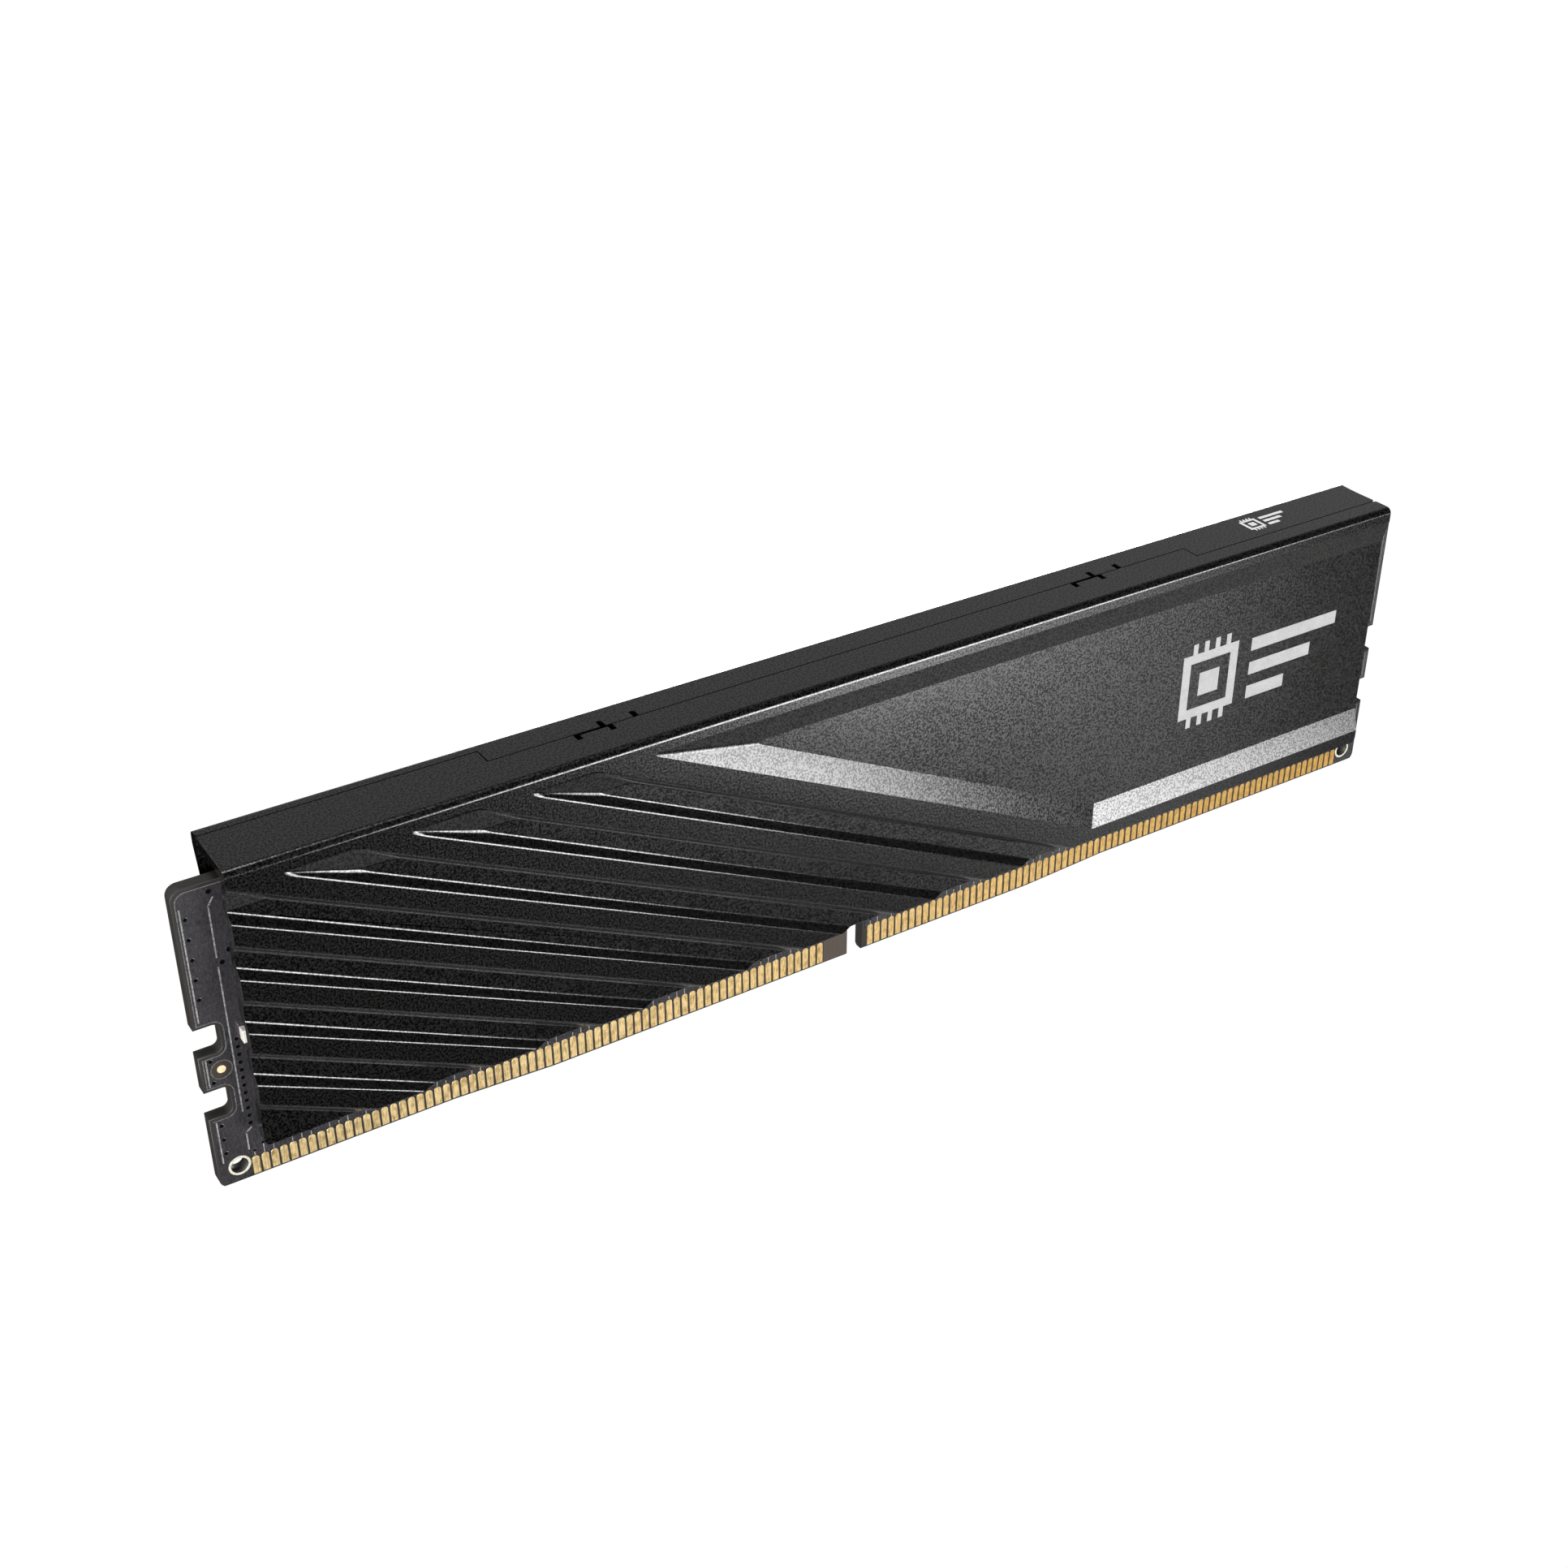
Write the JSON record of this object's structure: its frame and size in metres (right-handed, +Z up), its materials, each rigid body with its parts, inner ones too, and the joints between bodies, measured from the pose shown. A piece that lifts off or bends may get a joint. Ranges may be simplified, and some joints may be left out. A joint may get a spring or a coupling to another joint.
{
  "type": "ram module",
  "caption": "Desktop memory module: a board with gold edge contacts, a key slot and latch notches, between two pressed aluminium heat spreader halves with slanted channels.",
  "frame": {"origin": "middle of the board's length and thickness, on the lowest line of the contact edge", "axes": "+X along the module to the right seen from the front, -Y out of the front face, +Z up from the contacts to the top"},
  "size_m": [0.1334, 0.0076, 0.0336],
  "materials": {
    "laminate": "glass-fibre laminate, dark at its cut edges and brown where bare",
    "solder_mask": "black solder mask, satin",
    "gold": "gold plating over nickel",
    "bare_ring": "bare ring around the corner holes",
    "chip_body": "black moulded resin",
    "ferrite": "grey pressed ferrite",
    "capacitor_body": "fired ceramic with tinned ends",
    "thermal_pad": "soft grey silicone pad",
    "spreader_black": "fine-grained black coat on pressed aluminium",
    "print_grey": "light grey print",
    "print_white": "white print"
  },
  "bodies": {
    "root": {"board_core": "laminate", "front_mask": "solder_mask", "rear_mask": "solder_mask", "front_left_contacts": "gold", "front_right_contacts": "gold", "rear_left_contacts": "gold", "rear_right_contacts": "gold", "hole_rings": "bare_ring", "fiducials": "gold", "memory_chip_1": "chip_body", "memory_chip_2": "chip_body", "memory_chip_3": "chip_body", "memory_chip_4": "chip_body", "memory_chip_5": "chip_body", "memory_chip_6": "chip_body", "memory_chip_7": "chip_body", "memory_chip_8": "chip_body", "power_regulator": "chip_body", "inductor_1": "ferrite", "inductor_2": "ferrite", "inductor_3": "ferrite", "bulk_capacitors": "capacitor_body", "supply_capacitors": "capacitor_body", "edge_capacitor": "capacitor_body", "decoupling_capacitors": "capacitor_body", "rear_capacitors": "capacitor_body", "module_info_chip": "chip_body", "resistor_packs": "chip_body", "sense_resistors": "chip_body", "left_thermal_pad": "thermal_pad", "right_thermal_pad": "thermal_pad", "regulator_pad": "thermal_pad", "rear_thermal_pad": "thermal_pad", "front_spreader": "spreader_black", "rear_spreader": "spreader_black", "panel_print": "print_grey", "top_print": "print_white"}
  },
  "joints": []
}
